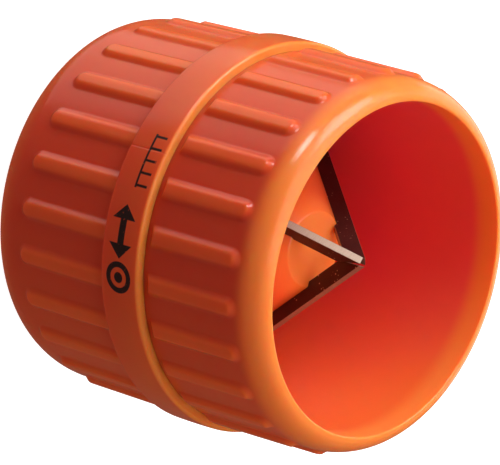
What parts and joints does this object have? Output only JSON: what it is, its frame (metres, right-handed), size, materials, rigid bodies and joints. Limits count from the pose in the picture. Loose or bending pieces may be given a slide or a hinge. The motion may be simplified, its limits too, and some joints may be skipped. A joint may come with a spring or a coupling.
{
  "type": "pipe deburring tool",
  "caption": "Short ribbed plastic barrel with a raised collar; flat steel blades on a cone inside deburr the inner and outer edges of pipe ends.",
  "frame": {"origin": "centre of the flat rear rim, which the tool stands on", "axes": "+Z along the barrel's axis, out of the front mouth; the blades stand at 12.8, 132.8 and 252.8 degrees from +X"},
  "size_m": [0.062, 0.062, 0.056],
  "materials": {
    "barrel_plastic": "glossy, slightly translucent orange",
    "collar_plastic": "glossy, smooth, slightly translucent orange with a small dark printed mark",
    "carrier_plastic": "satin orange",
    "blade_steel": "dark blued faces, bright ground edges"
  },
  "bodies": {
    "root": {"front_shell": "barrel_plastic", "rear_shell": "barrel_plastic", "collar_ring": "collar_plastic", "blade_carrier": "carrier_plastic", "blade_1": "blade_steel", "blade_2": "blade_steel", "blade_3": "blade_steel"}
  },
  "joints": []
}
